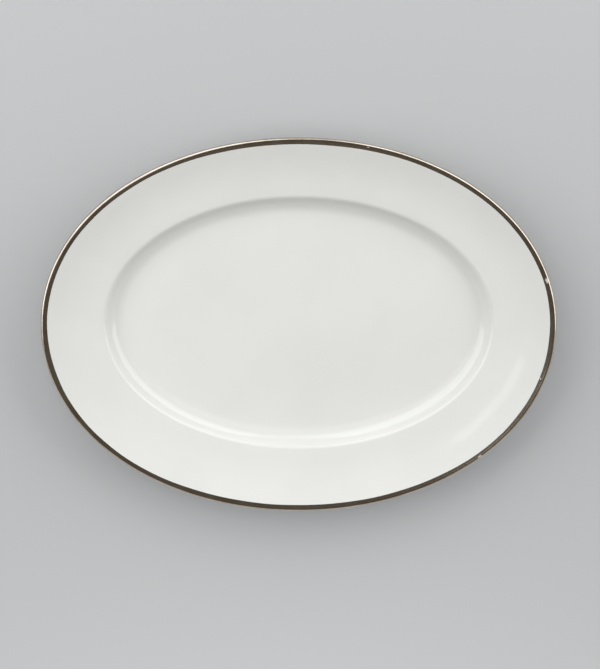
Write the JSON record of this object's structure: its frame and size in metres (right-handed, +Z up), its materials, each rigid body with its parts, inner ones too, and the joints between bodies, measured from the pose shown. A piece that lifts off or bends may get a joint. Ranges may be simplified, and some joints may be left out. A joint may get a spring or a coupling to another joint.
{
  "type": "oval serving platter",
  "caption": "Oval china serving platter with a broad sloping rim, a flat-bottomed well, a foot ring and a fired metal band round the lip.",
  "frame": {"origin": "middle of the plane that the foot ring stands on", "axes": "+X along the platter's length, +Y across it, +Z up out of the well"},
  "size_m": [0.356, 0.267, 0.0295],
  "materials": {
    "china": "fired, unglazed, ground smooth where it stands",
    "glaze": "clear gloss glaze over white china",
    "band_metal": "fired platinum lustre, burnished bright"
  },
  "bodies": {
    "root": {"china_body": "china", "face_and_back_glaze": "glaze", "foot_recess_glaze": "glaze", "lip_metal_band": "band_metal"}
  },
  "joints": []
}
